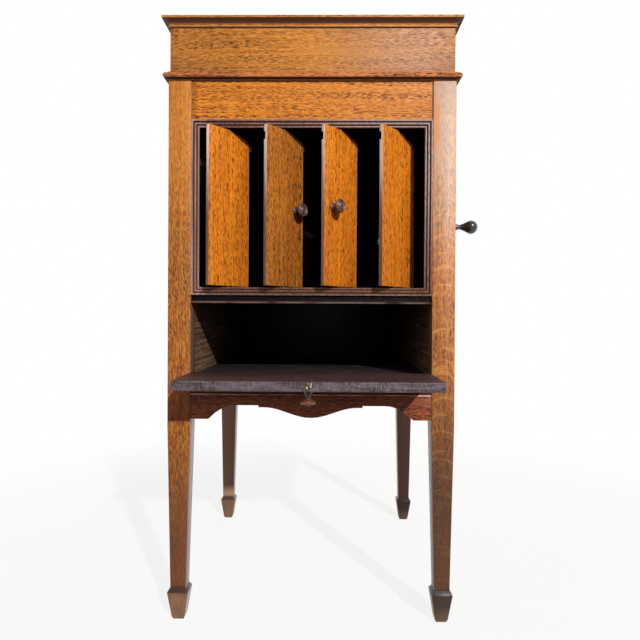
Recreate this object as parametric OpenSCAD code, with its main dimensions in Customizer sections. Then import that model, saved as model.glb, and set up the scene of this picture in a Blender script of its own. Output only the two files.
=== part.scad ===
// Floor-standing gramophone cabinet: lidded motor compartment, four tone
// louvres, a record shelf with a fall-front flap, and four tapered legs.

/* [Cabinet] */
// Width over the legs
body_w = 478; // [440:1:540]
// Depth over the legs
body_d = 540; // [500:1:600]
// Height of the leg tops
leg_top_z = 903; // [880:1:930]
// Thickness of a leg at the case
leg_t = 38; // [34:1:44]
// How far the rails stand back from the leg faces
reveal = 2; // [1:0.5:4]
// Thickness of the case boards
board_t = 12; // [10:1:14]

/* [Legs] */
// Height at which the legs begin to taper
taper_z = 330; // [300:1:340]
// Thickness of a leg just above its foot
ankle_t = 26; // [22:1:30]
// Height of the widest line of a foot
foot_z = 48; // [40:1:60]
// Width of a foot at its widest line
foot_w = 35; // [32:1:40]
// Width of a foot where its toe begins to round
toe_w = 22; // [20:1:28]
// Height of the rounding of a toe
toe_round = 5; // [3:1:8]
// Height of the slope from the foot's widest line up to the leg
foot_slope = 6; // [4:1:12]

/* [Lid] */
// Height of the waist moulding under the lid
waist_h = 15; // [12:1:18]
// How far the waist moulding stands out from the legs
waist_out = 8; // [5:1:10]
// Height of the lid's sides
band_h = 73; // [60:1:80]
// Thickness of the lid's sides
band_t = 14; // [12:1:18]
// Height of the cornice and top board
cornice_h = 16; // [15:1:20]
// How far the cornice stands out from the lid's sides
cornice_out = 12; // [8:1:14]
// Gap between the lid and the waist moulding
lid_gap = 0.4; // [0.2:0.1:1]
// Radius of the lid hinges' knuckles
lid_knuckle_r = 4; // [3:0.5:5]
// Middle radius of the quadrant stay
stay_r = 82; // [76:1:86]
// Radial width of the quadrant stay
stay_w = 8; // [6:1:10]
// Thickness of the quadrant stay
stay_t = 2.5; // [2:0.5:4]
// Angle that the quadrant stay reaches below the hinge axis
stay_deg = 66; // [60:1:70]

/* [Louvres] */
// Height of the louvre opening's lower edge
opening_z = 560; // [550:1:570]
// Height of the louvre opening
opening_h = 266.5; // [255:0.5:272]
// Width of the moulded frame's members
frame_w = 13; // [11:1:15]
// Width of a louvre's face
blade_w = 90; // [84:1:91]
// Thickness of a louvre
blade_t = 7; // [6:0.5:9]
// Angle of the louvres at rest, from closed
blade_deg = 52; // [40:1:60]
// Depth of the louvre pivots behind the leg faces
pivot_y = 13; // [12.5:0.5:16]
// Radius of the louvre pivots
pivot_r = 2.5; // [2:0.25:3]
// Width of the overlapping tab at a louvre's top
tab_w = 11; // [8:1:12]
// Drop of the louvre's curved top
blade_drop = 16.5; // [10:0.5:18]
// Space between a louvre and the frame above and below it
blade_gap = 2.5; // [2:0.5:4]

/* [Record shelf] */
// Height of the shelf's upper face
shelf_z = 412; // [405:1:413]
// Height of the divider rail's lower edge
divider_z = 533.5; // [528:0.5:538]
// Thickness of the flap
flap_t = 15; // [12:1:18]
// Gap at each end of the flap
flap_gap = 1.5; // [1:0.5:3]
// Height of the flap hinge's axis
flap_axis_z = 399.5; // [398:0.5:401]

/* [Apron] */
// Height of the apron's upper edge
apron_top_z = 382; // [380:1:386]
// Height of the apron's lowest points
apron_low_z = 339.5; // [336:0.5:348]
// Height of the apron's arches
apron_arch_z = 363; // [358:1:368]
// Height of the apron's swell at the middle
apron_mid_z = 342.5; // [338:0.5:350]
// Distance of the small steps beside the swell from the middle
apron_step_x = 87; // [80:1:100]
// Thickness of the aprons
apron_t = 18; // [14:1:22]

/* [Winding crank] */
// Height of the crank shaft
crank_z = 834; // [830:1:836]
// Length of the crank arm between its centres
crank_arm = 128; // [120:1:140]
// Radius of the crank shaft
crank_r = 5; // [4:0.5:6]
// Length of the crank's handle
handle_l = 84; // [70:1:90]
// Greatest radius of the crank's handle
handle_r = 15; // [12:1:17]

/* [Turntable] */
// Depth of the turntable's spindle behind the leg faces
spindle_y = 230; // [225:1:235]
// Radius of the turntable
platter_r = 150; // [140:1:152]
// Radius of the spindle's record pin
spindle_r = 3.55; // [3.4:0.05:3.6]
// Height of the motor board's upper face
motor_board_z = 892; // [890:1:894]
// Thickness of the motor board
motor_board_t = 14; // [12:1:16]

/* [Tone arm] */
// Distance of the tone arm's pivot from the middle, to the right
arm_x = 150; // [146:1:154]
// Depth of the tone arm's pivot behind the leg faces
arm_y = 385; // [380:1:390]
// Length of the tone arm
arm_l = 222; // [215:1:226]
// Angle of the parked tone arm, outward from straight ahead
arm_park = 10; // [8:1:11]
// Radius of the tone arm's wide end
arm_r = 13; // [11:0.5:14]
// Radius of the sound box
box_r = 27; // [24:1:28]

/* [Fits] */
// Radial clearance of a running shaft
running = 0.08; // [0.05:0.01:0.1]
// Clearance between pieces that pass each other
pass = 0.5; // [0.3:0.1:0.8]

/* [Hidden] */

oak = [0.72, 0.42, 0.13];
dark_oak = [0.36, 0.17, 0.09];
black_oak = [0.12, 0.08, 0.07];
iron = [0.2, 0.2, 0.21];
nickel = [0.72, 0.72, 0.7];
brass = [0.75, 0.6, 0.3];
ebony = [0.07, 0.06, 0.06];
felt = [0.16, 0.3, 0.2];

half_w = body_w / 2;
inner_w = half_w - leg_t;             // middle to the inner face of a leg
lid_w = half_w - reveal;              // middle to the lid's side
lid_z = leg_top_z + waist_h;
lid_top_z = lid_z + lid_gap + band_h + cornice_h;
lid_axis_z = lid_z + lid_gap / 2;
lid_axis_y = body_d - reveal + lid_knuckle_r + pass;
band_front_y = reveal;
band_back_y = body_d - reveal;
ceiling_z = lid_top_z - cornice_h;    // underside of the lid's top board

flap_leaf_t = 1;
flap_axis_y = -0.5;
flap_knuckle_r = 3;
flap_face_y = reveal + 1;             // closed flap's outer face
flap_open_top = flap_axis_z + flap_face_y - flap_axis_y + flap_t;
flap_rear_y = flap_axis_y - flap_leaf_t;
flap_l = divider_z - 2 - flap_axis_z - flap_leaf_t;
flap_tip_y = flap_rear_y - flap_l;
flap_half = inner_w - flap_gap;
flap_open_low = flap_open_top - flap_t;
catch_plate = 0.8;
catch_out = catch_plate + 1;          // how far the catch's ball stands out

opening_half = inner_w - frame_w;
opening_top_z = opening_z + opening_h;
pitch = 2 * opening_half / 4;
blade_z0 = opening_z + blade_gap;
blade_z1 = opening_top_z - blade_gap;
wide_blade = blade_w + tab_w - 1;     // the right-hand louvre has no tab
link_u = 28;                          // tie pin, along the louvre from its pivot
link_v = 14;                          // tie pin, behind the louvre's middle
tie_t = 3;
tie_z = blade_z0 - pass - 1.5 - pass - tie_t;
chamber_z = tie_z - 1;                // upper face of the chamber floor
chamber_top = opening_top_z + blade_gap + 1;
frame_back_y = pivot_y - blade_t / 2 - pass;
chamber_y = pivot_y + wide_blade - blade_w / 2 + 10;

stay_x = inner_w - 5;                 // middle to the stay's inner face
arm_z = motor_board_z + 66;
pipe_t = 3;                           // wall of the pipe under the tone arm
pipe_l = 215;
box_x = arm_x + arm_l * sin(arm_park);
box_y = arm_y - arm_l * cos(arm_park);

side_x = lid_w - 3;                   // outer face of a side panel
back_in_y = body_d - reveal - board_t;
handle_x = half_w + 26;               // inner end of the handle
handle_end = handle_x + handle_l;
handle_z = crank_z - crank_arm;

box_left = lid_w + cornice_out;
// The origin is the middle of the whole object's outline, on the floor.
origin_x = (handle_end - box_left) / 2;
origin_y = (flap_tip_y - catch_out + lid_axis_y + lid_knuckle_r) / 2;

// Puts a piece drawn about the cabinet's front middle into the part's frame.
module placed() {
    translate([-origin_x, -origin_y, 0]) children();
}

// A block between two corners.
module block(low, high) {
    translate(low) cube(high - low);
}

// Both a piece and its mirror image across the cabinet's middle.
module both_sides() {
    children();
    mirror([1, 0, 0]) children();
}

// A board whose four edges carry a moulding: outline is a list of
// [distance out, height], from the bottom up.
module moulded_board(x_half, y0, y1, outline) {
    n = len(outline);
    intersection() {
        translate([0, y1 + 40, 0]) rotate([90, 0, 0])
            linear_extrude(y1 - y0 + 80)
                polygon(concat(
                    [for (p = outline) [x_half + p.x, p.y]],
                    [for (i = [n - 1:-1:0]) [-x_half - outline[i].x, outline[i].y]]));
        translate([-x_half - 40, 0, 0]) rotate([90, 0, 90])
            linear_extrude(2 * x_half + 80)
                polygon(concat(
                    [for (p = outline) [y1 + p.x, p.y]],
                    [for (i = [n - 1:-1:0]) [y0 - outline[i].x, outline[i].y]]));
    }
}

// A horizontal pin along X between two places.
module x_pin(x0, x1, y, z, r) {
    translate([x0, y, z]) rotate([0, 90, 0]) cylinder(h = x1 - x0, r = r, $fn = 32);
}

// ---- Legs ----

// A leg with its outer corner at the origin, standing in +X and +Y: a square post, and below
// it square levels, each [height, nearest edge, furthest edge], joined by flat sides.
module leg() {
    outer_share = 0.4;                    // share of the taper on the outer faces
    inset = (leg_t - ankle_t) * outer_share;
    mid = inset + ankle_t / 2;
    levels = [
        [0, mid - (toe_w - toe_round) / 2, mid + (toe_w - toe_round) / 2],
        [toe_round, mid - toe_w / 2, mid + toe_w / 2],
        [foot_z, mid - foot_w / 2, mid + foot_w / 2],
        [foot_z + foot_slope, inset, inset + ankle_t],
        [taper_z, 0, leg_t]
    ];
    last = 4 * (len(levels) - 1);
    translate([0, 0, taper_z]) cube([leg_t, leg_t, leg_top_z - taper_z]);
    polyhedron(
        points = [for (l = levels)
            for (c = [[l[1], l[1]], [l[2], l[1]], [l[2], l[2]], [l[1], l[2]]]) [c.x, c.y, l[0]]],
        faces = concat(
            [[0, 1, 2, 3], [last + 3, last + 2, last + 1, last]],
            [for (low = [0:4:last - 4]) for (k = [0:3])
                [low + k, low + k + 4, low + (k + 1) % 4 + 4, low + (k + 1) % 4]]));
}

module leg_at(right, rear) {
    placed() mirror([right ? 1 : 0, 0, 0])
        translate([-half_w, rear ? body_d : 0, 0])
            mirror([0, rear ? 1 : 0, 0]) leg();
}

module leg_front_left() color(oak) leg_at(false, false);
module leg_front_right() color(oak) leg_at(true, false);
module leg_rear_left() color(oak) leg_at(false, true);
module leg_rear_right() color(oak) leg_at(true, true);

// ---- Case ----

module side_panel() {
    block([side_x - board_t, leg_t, apron_low_z], [side_x, body_d - leg_t, leg_top_z]);
}

module side_panel_left() color(oak) placed() mirror([1, 0, 0]) side_panel();

module side_panel_right() {
    color(oak) placed() difference() {
        side_panel();
        x_pin(side_x - board_t - 1, side_x + 1, crank_y, crank_z, crank_r + 4);
    }
}

module back_panel() {
    color(dark_oak) placed()
        block([-inner_w, back_in_y, apron_low_z], [inner_w, back_in_y + board_t, leg_top_z]);
}

module top_rail() {
    color(oak) placed()
        block([-inner_w, reveal, opening_top_z + frame_w],
              [inner_w, reveal + 18, leg_top_z]);
}

// Each row: how far from the opening a step begins and ends, and its depth.
frame_steps = [[9.5, 8.3, 3.5], [8.3, 0, 1], [4.3, 3.3, 5], [3.3, 0, 3]];

// The block over the louvre opening, grown all round.
module over_opening(grow, y0, y1) {
    block([-opening_half - grow, y0, opening_z - grow], [opening_half + grow, y1, opening_top_z + grow]);
}

// Picture-frame moulding: three reeds fall inward, with a quirk between them.
module louvre_frame() {
    y0 = reveal - 1;
    color(dark_oak) placed() difference() {
        over_opening(frame_w, y0, frame_back_y);
        over_opening(0, y0 - 1, frame_back_y + 1);
        for (s = frame_steps)
            difference() {
                over_opening(s[0], y0 - 1, y0 + s[2]);
                over_opening(s[1], y0 - 2, y0 + s[2] + 1);
            }
    }
}

module divider_rail() {
    bead_h = 3.5;
    color(black_oak) placed() {
        block([-inner_w, reveal + 4, divider_z], [inner_w, reveal + 26, opening_z - frame_w]);
        block([-inner_w, reveal + 1, divider_z], [inner_w, reveal + 4, divider_z + bead_h]);
    }
}

module bottom_rail() {
    color(dark_oak) placed()
        block([-inner_w, flap_face_y, apron_top_z],
              [inner_w, flap_face_y + 20, flap_axis_z - flap_leaf_t - 0.1]);
}

// Outline of one half of the shaped apron's lower edge, from the middle out.
function apron_edge() =
    let (step_h = 3.3, swell_l = apron_step_x - 9, swell_top = apron_arch_z - step_h,
         bow_0 = inner_w - 76, bow_1 = inner_w - 30, drop = apron_arch_z - apron_low_z)
    concat(
        [for (a = [0:15:180])
            [swell_l * a / 180, (swell_top + apron_mid_z) / 2 - (swell_top - apron_mid_z) / 2 * cos(a)]],
        [[apron_step_x, swell_top], [apron_step_x, apron_arch_z]],
        [for (t = [0:0.125:1]) [bow_0 + (bow_1 - bow_0) * t, apron_arch_z - drop * t * t]],
        [[inner_w, apron_low_z]]);

module apron_front() {
    edge = apron_edge();
    n = len(edge);
    color(dark_oak) placed() translate([0, reveal + apron_t, 0]) rotate([90, 0, 0])
        linear_extrude(apron_t)
            polygon(concat(
                [[-inner_w, apron_top_z], [inner_w, apron_top_z]],
                [for (i = [n - 1:-1:0]) edge[i]],
                [for (i = [1:n - 1]) [-edge[i].x, edge[i].y]]));
}

// Cleats along the sides and back that carry the shelf.
module apron_sides() {
    top = shelf_z - board_t;
    color(dark_oak) placed() {
        both_sides() block([side_x - board_t - apron_t, leg_t, top - 24],
                           [side_x - board_t, body_d - leg_t, top]);
        block([-inner_w, back_in_y - apron_t, top - 24], [inner_w, back_in_y, top]);
    }
}

module shelf_board() {
    front = flap_face_y + flap_t + pass;
    color(dark_oak) placed() difference() {
        block([-side_x + board_t, front, shelf_z - board_t],
              [side_x - board_t, back_in_y, shelf_z]);
        both_sides() {
            block([inner_w, front - 1, shelf_z - board_t - 1], [half_w, leg_t, shelf_z + 1]);
            block([inner_w, body_d - leg_t, shelf_z - board_t - 1], [half_w, body_d, shelf_z + 1]);
        }
    }
}

// The floor under the louvres, which is the shelf compartment's ceiling.
module chamber_floor() {
    color(black_oak) placed() difference() {
        union() {
            block([-inner_w, reveal + 26, chamber_z - board_t], [inner_w, back_in_y, chamber_z]);
            block([-inner_w, frame_back_y, opening_z - frame_w], [inner_w, reveal + 26, chamber_z]);
        }
        pivot_bores();
    }
}

// Bores for the louvre pivots, through whatever they are taken from.
module pivot_bores() {
    for (x = blade_places())
        translate([x, pivot_y, 0]) cylinder(h = leg_top_z, r = pivot_r + running, $fn = 24);
}

module chamber_ceiling() {
    color(black_oak) placed() difference() {
        block([-inner_w, frame_back_y, chamber_top], [inner_w, chamber_y, chamber_top + board_t]);
        block([-inner_w - 1, 0, opening_top_z + frame_w], [inner_w + 1, reveal + 18, leg_top_z]);
        pivot_bores();
    }
}

// Upright boards that line the shelf compartment and the tone chamber, up to the motor board's cleats.
module chamber_linings() {
    below_board = 25;
    top = motor_board_z - motor_board_t - below_board;
    color(black_oak) placed() difference() {
        both_sides()
            block([inner_w, leg_t, shelf_z], [inner_w + 8, body_d - leg_t, top]);
        x_pin(inner_w - 1, inner_w + 9, crank_y, crank_z, crank_r + 4);
    }
}

// The horn: a wooden flare that narrows from the louvres to the tone arm's pipe.
module tone_chamber() {
    wall = 6;
    mouth = [inner_w - 1, chamber_z, chamber_top + board_t];
    throat_z = 640;
    throat = 34;
    back = arm_y + throat;
    color(black_oak) placed() difference() {
        hull() {
            block([-mouth.x, chamber_y, mouth.y], [mouth.x, chamber_y + 1, mouth.z]);
            block([arm_x - throat, back, throat_z - throat], [arm_x + throat, back + 1, throat_z + throat]);
        }
        hull() {
            block([-mouth.x + wall, chamber_y - 1, mouth.y + wall],
                  [mouth.x - wall, chamber_y, mouth.z - board_t - wall]);
            block([arm_x - throat + wall, back - wall, throat_z - throat + wall],
                  [arm_x + throat - wall, back - wall + 1, throat_z + throat - wall]);
        }
        translate([arm_x, arm_y, throat_z]) cylinder(h = 300, r = arm_r + pipe_t + pass, $fn = 48);
    }
}

module waist_moulding() {
    z = leg_top_z;
    nose = waist_h * 0.45;
    outline = [[0, z], [1.5, z], [2, z + 1.5], [5, z + 2.2], [waist_out - 0.8, z + 3.8],
               [waist_out, z + nose - 0.7], [waist_out, z + nose + 0.8], [waist_out - 0.6, z + 9.5],
               [waist_out - 2.5, z + waist_h - 3.2], [2, z + waist_h - 1.8],
               [1.5, z + waist_h - 0.8], [0, z + waist_h]];
    back = band_back_y;
    color(dark_oak) placed() difference() {
        moulded_board(half_w, 0, body_d, outline);
        block([-side_x + board_t, reveal + 18, z - 1], [side_x - board_t, back_in_y, z + waist_h + 1]);
        block([-half_w - 40, back, z - 1], [half_w + 40, body_d + 40, z + waist_h + 1]);
    }
}

module motor_board() {
    x = side_x - board_t - pass / 2;
    color(dark_oak) placed() difference() {
        block([-x, reveal + 18 + pass, motor_board_z - motor_board_t],
              [x, back_in_y - pass, motor_board_z]);
        both_sides() {
            block([inner_w - pass, 0, 0], [half_w, leg_t + pass, leg_top_z]);
            block([inner_w - pass, body_d - leg_t - pass, 0], [half_w, body_d, leg_top_z]);
        }
        translate([0, spindle_y, 0]) cylinder(h = lid_top_z, r = 12, $fn = 48);
        translate([arm_x, arm_y, 0]) cylinder(h = lid_top_z, r = arm_r + pipe_t + pass, $fn = 48);
        block([-stay_x - stay_t - 1, lid_axis_y - stay_r - stay_w, 0],
              [-stay_x + 1, lid_axis_y - stay_r + stay_w + 14, lid_top_z]);
    }
}

module motor_board_cleats() {
    top = motor_board_z - motor_board_t;
    color(dark_oak) placed() {
        both_sides() block([side_x - board_t - 12, leg_t, top - 20], [side_x - board_t, body_d - leg_t, top]);
        block([-inner_w, reveal + 18, top - 20], [inner_w, reveal + 32, top]);
    }
}

// ---- Lid ----

module lid_band() {
    z = lid_z + lid_gap;
    color(oak) placed() difference() {
        block([-lid_w, band_front_y, z], [lid_w, band_back_y, z + band_h]);
        block([-lid_w + band_t, band_front_y + band_t, z - 1],
              [lid_w - band_t, band_back_y - band_t, z + band_h + 1]);
    }
}

// Top board with a cove-and-fillet cornice on its front and sides.
module lid_top() {
    z = ceiling_z;
    bead = 3;
    cove = cornice_h - bead - 4.5;
    outline = concat(
        [[0, z], [2.5, z], [3.2, z + 1.2], [2.5, z + 2.4], [1, z + bead]],
        [for (a = [0:15:90]) [1 + (cornice_out - 2.5) * (1 - cos(a)), z + bead + cove * sin(a)]],
        [[cornice_out, z + bead + cove + 0.5], [cornice_out, lid_top_z - 1], [cornice_out - 1, lid_top_z]]);
    color(oak) placed() intersection() {
        moulded_board(lid_w, band_front_y, band_back_y, outline);
        block([-half_w - 40, -40, z], [half_w + 40, band_back_y, lid_top_z]);
    }
}

lid_hinge_x = 150;
lid_hinge_l = 60;
leaf_t = 1.2;

// Knuckles of a butt hinge: n pieces along X, of which every second is kept.
module knuckles(x0, length, y, z, r, first) {
    n = 5;
    step = length / n;
    for (i = [first:2:n - 1])
        translate([x0 + i * step + 0.15, y, z]) rotate([0, 90, 0]) difference() {
            cylinder(h = step - 0.3, r = r, $fn = 32);
            if (first == 1) translate([0, 0, -1]) cylinder(h = step + 2, r = r / 2 + running, $fn = 24);
        }
    if (first == 0) x_pin(x0 + 0.15, x0 + length - 0.15, y, z, r / 2);
}

// Half of each lid hinge: leaf and knuckles on one side of the axis.
module lid_hinge_half(up) {
    first = up ? 1 : 0;
    side = up ? 1 : -1;
    n = 5;
    step = lid_hinge_l / n;
    x0 = lid_hinge_x - lid_hinge_l / 2;
    leaf = [lid_knuckle_r + pass, 22];
    both_sides() translate([0, 0, lid_axis_z]) {
        knuckles(x0, lid_hinge_l, lid_axis_y, 0, lid_knuckle_r, first);
        block([x0, band_back_y, min(side * leaf[0], side * leaf[1])],
              [x0 + lid_hinge_l, band_back_y + leaf_t, max(side * leaf[0], side * leaf[1])]);
        for (i = [first:2:n - 1])
            difference() {
                block([x0 + i * step + 0.15, band_back_y, min(side * pass, side * (leaf[0] + 1))],
                      [x0 + (i + 1) * step - 0.15, lid_axis_y, max(side * pass, side * (leaf[0] + 1))]);
                block([x0, band_back_y + leaf_t, min(side * (lid_knuckle_r - 0.5), side * 30)],
                      [x0 + lid_hinge_l, lid_axis_y + 1, max(side * (lid_knuckle_r - 0.5), side * 30)]);
                x_pin(x0, x0 + lid_hinge_l, lid_axis_y, 0, lid_knuckle_r - 0.5);
            }
    }
}

module lid_hinges_fixed() color(brass) placed() lid_hinge_half(false);
module lid_hinges_moving() color(brass) placed() lid_hinge_half(true);

// Quadrant stay: an arc about the hinge axis, which slides down through the
// board, on a strap that hangs from the lid's top.
module lid_stay() {
    tilt = 8;
    color(brass) placed() {
        translate([-stay_x - stay_t, lid_axis_y, lid_axis_z])
            rotate([0, 90, 0]) rotate([0, 0, -90]) rotate([0, 0, -tilt])
                rotate_extrude(angle = stay_deg + tilt, $fn = 96)
                    translate([stay_r - stay_w / 2, 0]) square([stay_w, stay_t]);
        block([-stay_x - stay_t, lid_axis_y - stay_r - 4, lid_axis_z + 4],
              [-stay_x, lid_axis_y - stay_r + 4, ceiling_z]);
    }
}

// ---- Flap, at rest lying open ----

module flap_board() {
    edge = 1.2;
    color(dark_oak) placed() translate([-flap_half, 0, 0]) rotate([90, 0, 90])
        linear_extrude(2 * flap_half)
            polygon([[flap_rear_y, flap_open_low], [flap_rear_y, flap_open_top],
                     [flap_tip_y + edge, flap_open_top], [flap_tip_y, flap_open_top - edge],
                     [flap_tip_y, flap_open_low + edge], [flap_tip_y + edge, flap_open_low]]);
}

flap_knob_y = flap_tip_y + 15;

module flap_knob() {
    color(dark_oak) placed() translate([0, flap_knob_y, flap_open_low]) rotate([180, 0, 0])
        turned_knob(knob_r, knob_h);
}

// A turned wooden knob that stands up from z = 0.
module turned_knob(r, h) {
    outline = [[0, 0], [0.62, 0], [0.62, 0.08], [0.42, 0.2], [0.36, 0.45], [0.5, 0.58],
               [0.9, 0.67], [1, 0.75], [0.98, 0.83], [0.86, 0.9], [0.72, 0.87], [0.64, 0.82],
               [0.56, 0.88], [0.42, 0.93], [0.32, 0.87], [0.26, 0.88], [0.2, 0.97], [0.1, 1], [0, 1]];
    rotate_extrude($fn = 40) polygon([for (p = outline) [r * p.x, h * p.y]]);
}

// Spring catch let into the flap's top edge: a plate with a ball.
module flap_catch() {
    color(brass) placed() {
        block([-5, flap_tip_y - catch_plate, flap_open_low + 2], [5, flap_tip_y, flap_open_top - 2]);
        translate([0, flap_tip_y - catch_plate, flap_open_top - 7]) rotate([90, 0, 0])
            cylinder(h = catch_out - catch_plate, r = 2.6, $fn = 32);
    }
}

flap_hinge_x = 150;
flap_hinge_l = 50;

module flap_hinge_half(moving) {
    first = moving ? 1 : 0;
    n = 5;
    step = flap_hinge_l / n;
    x0 = flap_hinge_x - flap_hinge_l / 2;
    both_sides() {
        knuckles(x0, flap_hinge_l, flap_axis_y, flap_axis_z, flap_knuckle_r, first);
        if (moving)
            block([x0, flap_rear_y, flap_axis_z + flap_knuckle_r + pass],
                  [x0 + flap_hinge_l, flap_axis_y - 0.1, flap_open_low + 12]);
        for (i = [first:2:n - 1]) {
            a = x0 + i * step + 0.15;
            b = a + step - 0.3;
            difference() {
                if (moving)
                    block([a, flap_rear_y, flap_axis_z], [b, flap_axis_y - 0.1, flap_open_low + 12]);
                else
                    block([a, flap_axis_y, flap_axis_z - flap_leaf_t], [b, flap_face_y + 12, flap_axis_z - 0.1]);
                x_pin(x0, x0 + flap_hinge_l, flap_axis_y, flap_axis_z, flap_knuckle_r - 0.5);
            }
        }
    }
}

module flap_hinges_fixed() color(brass) placed() flap_hinge_half(false);
module flap_hinges_moving() color(brass) placed() flap_hinge_half(true);

// ---- Louvres, at rest turned open ----

function blade_places() = [for (i = [0:3]) (i - 1.5) * pitch];

// Puts a piece drawn in a louvre's own frame (u along it, v behind it,
// about its pivot) into the cabinet at rest.
module on_louvre(i) {
    placed() translate([blade_places()[i], pivot_y, 0]) rotate([0, 0, blade_deg]) children();
}

// A louvre: flat top at the front edge, falling in a curve to a tab at the back.
module louvre(i) {
    last = i == 3;
    w = last ? wide_blade : blade_w + tab_w;
    tab_h = 7;
    tab_face = blade_t / 2 - 2.5;         // the tab is as thin as its lap
    top = [for (k = [0:8])
        [w * (0.42 + 0.58 * k / 8), blade_z1 - blade_drop * pow(k / 8, 1.5)]];
    low = last ? [[w, blade_z0]] : [[w, top[8].y - tab_h], [blade_w, top[8].y - tab_h], [blade_w, blade_z0]];
    color(oak) on_louvre(i) translate([-blade_w / 2, 0, 0]) difference() {
        translate([0, blade_t / 2, 0]) rotate([90, 0, 0]) linear_extrude(blade_t)
            polygon(concat([[0, blade_z0], [0, blade_z1]], top, low));
        if (!last)
            block([blade_w, -blade_t, blade_z0], [w + 1, tab_face, blade_z1 + 1]);
        if (i > 0)
            block([-1, tab_face - pass, blade_z1 - blade_drop - tab_h - pass],
                  [tab_w, blade_t, blade_z1 - blade_drop * 0.68]);
    }
}

module louvre_1() louvre(0);
module louvre_2() louvre(1);
module louvre_3() louvre(2);
module louvre_4() louvre(3);

// Pivot pins at top and bottom, and the link lug with its pin for the tie bar.
module louvre_irons(i) {
    lug_z = blade_z0 + 1;
    color(iron) on_louvre(i) {
        translate([0, 0, blade_z1]) cylinder(h = chamber_top + 8 - blade_z1, r = pivot_r, $fn = 24);
        translate([0, 0, chamber_z - 6]) cylinder(h = blade_z0 - chamber_z + 6, r = pivot_r, $fn = 24);
        block([link_u - 6, blade_t / 2, lug_z], [link_u + 6, link_v + 4, lug_z + 2]);
        translate([link_u, link_v, tie_z]) cylinder(h = lug_z - tie_z, r = 1.5, $fn = 24);
    }
}

module louvre_irons_1() louvre_irons(0);
module louvre_irons_2() louvre_irons(1);
module louvre_irons_3() louvre_irons(2);
module louvre_irons_4() louvre_irons(3);

knob_u = 25;
knob_r = 11.5;
knob_h = 22;

module louvre_knob(i, u) {
    color(dark_oak) on_louvre(i)
        translate([u, -blade_t / 2, (blade_z0 + blade_z1) / 2 - 1]) rotate([90, 0, 0])
            turned_knob(knob_r, knob_h);
}

module louvre_knob_left() louvre_knob(1, knob_u);
module louvre_knob_right() louvre_knob(2, -knob_u);

// Flat bar that links the four louvres by their pins.
module tie_bar() {
    dx = link_u * cos(blade_deg) - link_v * sin(blade_deg);
    dy = link_u * sin(blade_deg) + link_v * cos(blade_deg);
    xs = blade_places();
    color(iron) placed() translate([dx, pivot_y + dy, tie_z]) difference() {
        block([xs[0] - 7, -4, 0], [xs[3] + 7, 4, tie_t]);
        for (x = xs) translate([x, 0, -1]) cylinder(h = tie_t + 2, r = 1.5 + running, $fn = 24);
    }
}

// ---- Winding crank, at rest hanging down ----

module crank_escutcheon() {
    color(nickel) placed() translate([side_x, crank_y, crank_z]) rotate([0, 90, 0]) difference() {
        union() {
            cylinder(h = 2, r = 16, $fn = 48);
            cylinder(h = 6, r = 9, $fn = 48);
            translate([0, 0, -board_t]) cylinder(h = board_t, r = crank_r + 4, $fn = 48);
        }
        translate([0, 0, -board_t - 1]) cylinder(h = board_t + 10, r = crank_r + running, $fn = 48);
    }
}

arm_out = half_w + 16;                // inner face of the crank arm
arm_thick = 7;
shaft_end = 52;                       // inner end of the crank shaft

module crank() {
    pin_r = 3.5;
    color(nickel) placed() {
        x_pin(shaft_end, arm_out + arm_thick, crank_y, crank_z, crank_r);
        hull() {
            x_pin(arm_out, arm_out + arm_thick, crank_y, crank_z, 9);
            x_pin(arm_out + 1, arm_out + arm_thick - 1, crank_y, handle_z, 7);
        }
        x_pin(arm_out + arm_thick - 2, handle_end - 4, crank_y, handle_z, pin_r);
        translate([shaft_end, crank_y, crank_z]) rotate([0, 90, 0])
            pinion_teeth(crank_teeth, crank_pr, 8);
    }
}

// A small toothed wheel about Z: hub, and teeth round it.
module pinion_teeth(count, r, h) {
    cylinder(h = h, r = r - 1.5, $fn = 48);
    for (k = [0:count - 1]) rotate([0, 0, 360 * k / count])
        translate([r - 2, -0.8, 0]) cube([3, 1.6, h]);
}

// Handle that turns on the crank's pin: a slim grip, a narrow neck and a ball.
module crank_handle() {
    bore = 3.5 + running;
    ball = handle_l - handle_r;
    color(ebony) placed() translate([handle_x, crank_y, handle_z]) rotate([0, 90, 0])
        rotate_extrude($fn = 48) polygon(concat(
            [[bore, 0], [7, 0], [7.5, 2], [7.5, 5], [6.2, 7], [5.8, 20], [6.4, ball - 35],
             [6.6, ball - 31], [6.2, ball - 28.5], [5.2, ball - 27], [5.1, ball - 24],
             [5.8, ball - 21], [8.2, ball - 15], [11.5, ball - 9], [14, ball - 4]],
            [for (a = [0:15:75]) [handle_r * cos(a), ball + handle_r * sin(a)]],
            [[0, handle_l], [0, handle_l - 3.5], [bore, handle_l - 3.5]]));
}

// ---- Motor ----

gear_m = 1.6;
gear_teeth = 70;
pinion_n = 14;
gear_r = gear_m * gear_teeth / 2;
pinion_pr = gear_m * pinion_n / 2;
centre_gap = gear_r + pinion_pr;
crank_y = spindle_y + centre_gap;     // the crank points at the barrel's arbor
wheel_teeth = 64;
crank_teeth = 10;
wheel_r = shaft_end + 4;              // where the crank's pinion meets the wheel
crank_pr = wheel_r * crank_teeth / wheel_teeth;
governor_y = spindle_y - 28;
motor_top = motor_board_z - motor_board_t;
gear_z = motor_top - 22;

// Spur gear about Z with trapezoid teeth and a little backlash.
module spur(teeth, h, turn) {
    r = gear_m * teeth / 2;
    root = r - 1.1 * gear_m;
    tip = r + 0.85 * gear_m;
    step = 360 / teeth;
    linear_extrude(h) rotate([0, 0, turn]) polygon([for (k = [0:teeth - 1], q = [0:3])
        let (a = step * (k + [-0.30, -0.11, 0.11, 0.30][q]),
             rr = [root, tip, tip, root][q]) [rr * cos(a), rr * sin(a)]]);
}

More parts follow.
